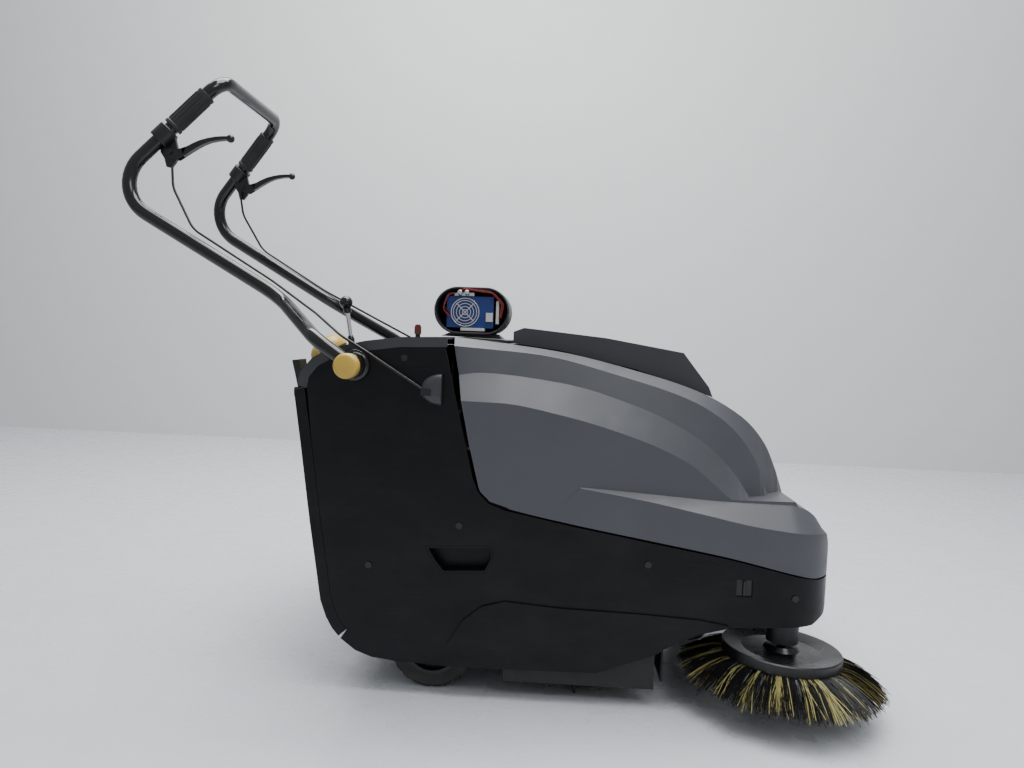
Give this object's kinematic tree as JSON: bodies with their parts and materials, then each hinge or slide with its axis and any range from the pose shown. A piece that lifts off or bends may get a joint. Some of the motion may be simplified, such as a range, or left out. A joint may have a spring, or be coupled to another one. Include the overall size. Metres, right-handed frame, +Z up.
{
  "type": "walk behind sweeper",
  "caption": "Battery walk behind sweeper with roller brush, side brush, pull-out rear hopper, hinged hood and folding push handle.",
  "frame": {"origin": "on the floor under the middle of the machine's whole box", "axes": "+X forward, +Z up, -Y is the side with the side brush (the machine's right)"},
  "size_m": [1.4718, 0.836, 1.1595],
  "materials": {
    "body_black": "satin moulded plastic with scuffs",
    "hood_grey": "satin blue-grey moulded plastic",
    "trim_grey": "matt dark grey plastic",
    "frame_dark": "satin black paint",
    "rubber_black": "matt rubber",
    "tyre_rubber": "moulded tyre rubber",
    "motor_metal": "grey painted motor casing",
    "pulley_metal": "turned",
    "battery_case": "battery case plastic",
    "filter_paper": "pleated filter fleece",
    "inner_plastic": "dark plastic",
    "charger_blue": "blue lacquered case",
    "wire_metal": "bright wire",
    "zinc_metal": "zinc plated",
    "gloss_black": "gloss black",
    "control_black": "matt black plastic",
    "bristle_mix": "black and yellow bristle",
    "signal_yellow": "satin yellow plastic",
    "chrome_rod": "polished rod",
    "key_red": "red-brown plastic"
  },
  "bodies": {
    "chassis": {"body_shell": "body_black", "rear_frame": "frame_dark", "front_frame": "frame_dark", "console_cover": "trim_grey", "side_cover_right": "body_black", "side_cover_left": "body_black", "side_seals": "rubber_black", "front_seal": "rubber_black", "rear_seal": "rubber_black", "brush_tunnel": "frame_dark", "main_motor": "motor_metal", "drive_belt": "rubber_black", "batteries": "battery_case", "filter_panel": "filter_paper", "suction_fan_housing": "inner_plastic", "drive_axle_unit": "frame_dark", "charger_pod": "body_black", "charger_unit": "charger_blue", "charger_grille": "wire_metal", "cable_outlets": "trim_grey", "grip_pockets": "body_black", "side_clips": "body_black", "side_screws": "control_black", "handle_brackets": "gloss_black", "caster_mount": "zinc_metal", "hood_hinges": "frame_dark"},
    "charger_fan": {"charger_fan": "inner_plastic"},
    "motor_rotor": {"motor_pulley": "pulley_metal"},
    "roller_brush": {"roller_core": "inner_plastic", "roller_bristles": "bristle_mix", "roller_pulley": "pulley_metal"},
    "side_arm": {"side_brush_arm": "frame_dark", "side_brush_motor": "motor_metal"},
    "side_brush": {"side_brush_disc": "inner_plastic", "side_brush_bristles": "bristle_mix", "side_brush_bolt": "wire_metal"},
    "wheel_right": {"wheel_hub_right": "inner_plastic", "tyre_right": "tyre_rubber"},
    "wheel_left": {"wheel_hub_left": "inner_plastic", "tyre_left": "tyre_rubber"},
    "caster_swivel": {"caster_fork": "zinc_metal"},
    "caster_roll": {"caster_wheel": "tyre_rubber"},
    "hopper": {"hopper_tub": "inner_plastic", "hopper_rear_panel": "body_black"},
    "hopper_roll": {"hopper_rollers": "tyre_rubber"},
    "bail": {"hopper_bail": "control_black"},
    "latch": {"hopper_latch": "control_black"},
    "hood": {"hood_shell": "hood_grey", "hood_tray": "trim_grey"},
    "handle": {"handle_tube": "gloss_black", "handle_grips": "rubber_black", "lever_clamps": "control_black", "handle_cables": "control_black"},
    "lever_right": {"brake_lever_right": "control_black"},
    "lever_left": {"brake_lever_left": "control_black"},
    "knob_right": {"clamp_knob_right": "signal_yellow"},
    "knob_left": {"clamp_knob_left": "signal_yellow"},
    "ball_lever": {"ball_lever": "chrome_rod"},
    "shaker": {"shaker_knob": "signal_yellow"},
    "key": {"start_key": "key_red"}
  },
  "joints": [
    {"name": "handle_tilt", "type": "hinge", "parent": "chassis", "child": "handle", "pos_m": [-0.24157, 0.03637, 0.598], "axis": [0, 1, 0], "range_deg": [-8, 25], "deforming": ["handle_cables"]},
    {"name": "lever_right_squeeze", "type": "hinge", "parent": "handle", "child": "lever_right", "pos_m": [-0.65257, -0.13963, 0.996], "axis": [0, -1, 0], "range_deg": [0, 16], "stiffness_Nm_per_rad": 1.5},
    {"name": "lever_left_squeeze", "type": "hinge", "parent": "handle", "child": "lever_left", "pos_m": [-0.65257, 0.21237, 0.996], "axis": [0, -1, 0], "range_deg": [0, 16], "stiffness_Nm_per_rad": 1.5},
    {"name": "knob_right_turn", "type": "hinge", "parent": "chassis", "child": "knob_right", "pos_m": [-0.24157, -0.32063, 0.598], "axis": [0, 1, 0], "continuous": true},
    {"name": "knob_left_turn", "type": "hinge", "parent": "chassis", "child": "knob_left", "pos_m": [-0.24157, 0.39337, 0.598], "axis": [0, 1, 0], "continuous": true},
    {"name": "hood_lift", "type": "hinge", "parent": "chassis", "child": "hood", "pos_m": [0.61643, 0.03637, 0.262], "axis": [0, 1, 0], "range_deg": [0, 60]},
    {"name": "roller_spin", "type": "hinge", "parent": "chassis", "child": "roller_brush", "pos_m": [0.17543, 0.03637, 0.125], "axis": [0, 1, 0], "continuous": true},
    {"name": "motor_spin", "type": "hinge", "parent": "chassis", "child": "motor_rotor", "pos_m": [0.39543, 0.32937, 0.33], "axis": [0, 1, 0], "continuous": true},
    {"name": "side_arm_lift", "type": "hinge", "parent": "chassis", "child": "side_arm", "pos_m": [0.39543, -0.21363, 0.185], "axis": [0, -1, 0], "range_deg": [0, 7]},
    {"name": "side_brush_spin", "type": "hinge", "parent": "side_arm", "child": "side_brush", "pos_m": [0.55043, -0.22863, 0.099], "axis": [0.0436, 0.0262, 0.9987], "continuous": true},
    {"name": "wheel_right_roll", "type": "hinge", "parent": "chassis", "child": "wheel_right", "pos_m": [-0.09157, -0.22763, 0.08], "axis": [0, 1, 0], "continuous": true},
    {"name": "wheel_left_roll", "type": "hinge", "parent": "chassis", "child": "wheel_left", "pos_m": [-0.09157, 0.30037, 0.08], "axis": [0, 1, 0], "continuous": true},
    {"name": "caster_turn", "type": "hinge", "parent": "chassis", "child": "caster_swivel", "pos_m": [0.46543, 0.06637, 0.14], "axis": [0, 0, 1], "continuous": true},
    {"name": "caster_roll", "type": "hinge", "parent": "caster_swivel", "child": "caster_roll", "pos_m": [0.43543, 0.06637, 0.05], "axis": [0, 1, 0], "continuous": true},
    {"name": "hopper_pull", "type": "slide", "parent": "chassis", "child": "hopper", "axis": [-1, 0, 0], "range_m": [0, 0.34]},
    {"name": "hopper_rollers_roll", "type": "hinge", "parent": "hopper", "child": "hopper_roll", "pos_m": [-0.19257, 0.03637, 0.096], "axis": [0, 1, 0], "continuous": true},
    {"name": "bail_swing", "type": "hinge", "parent": "hopper", "child": "bail", "pos_m": [-0.33257, 0.03637, 0.472], "axis": [0, 1, 0], "range_deg": [0, 75]},
    {"name": "latch_tilt", "type": "hinge", "parent": "hopper", "child": "latch", "pos_m": [-0.37057, -0.16363, 0.54], "axis": [0, -1, 0], "range_deg": [0, 20], "stiffness_Nm_per_rad": 0.6},
    {"name": "ball_lever_tilt", "type": "hinge", "parent": "chassis", "child": "ball_lever", "pos_m": [-0.26457, -0.18863, 0.59], "axis": [0, 1, 0], "range_deg": [0, 24]},
    {"name": "shaker_pull", "type": "slide", "parent": "chassis", "child": "shaker", "axis": [-0.6428, 0, 0.766], "range_m": [0, 0.03], "stiffness_N_per_m": 300},
    {"name": "key_turn", "type": "hinge", "parent": "chassis", "child": "key", "pos_m": [-0.16757, -0.06363, 0.65], "axis": [0, 0, 1], "range_deg": [-60, 0]},
    {"name": "charger_fan_spin", "type": "hinge", "parent": "chassis", "child": "charger_fan", "pos_m": [-0.06657, -0.09463, 0.704], "axis": [0, 1, 0], "continuous": true}
  ],
  "couplings": [
    {"joint": "motor_spin", "follows": "roller_spin", "ratio": 2.5909},
    {"joint": "side_arm_lift", "follows": "ball_lever_tilt", "ratio": 0.29}
  ]
}
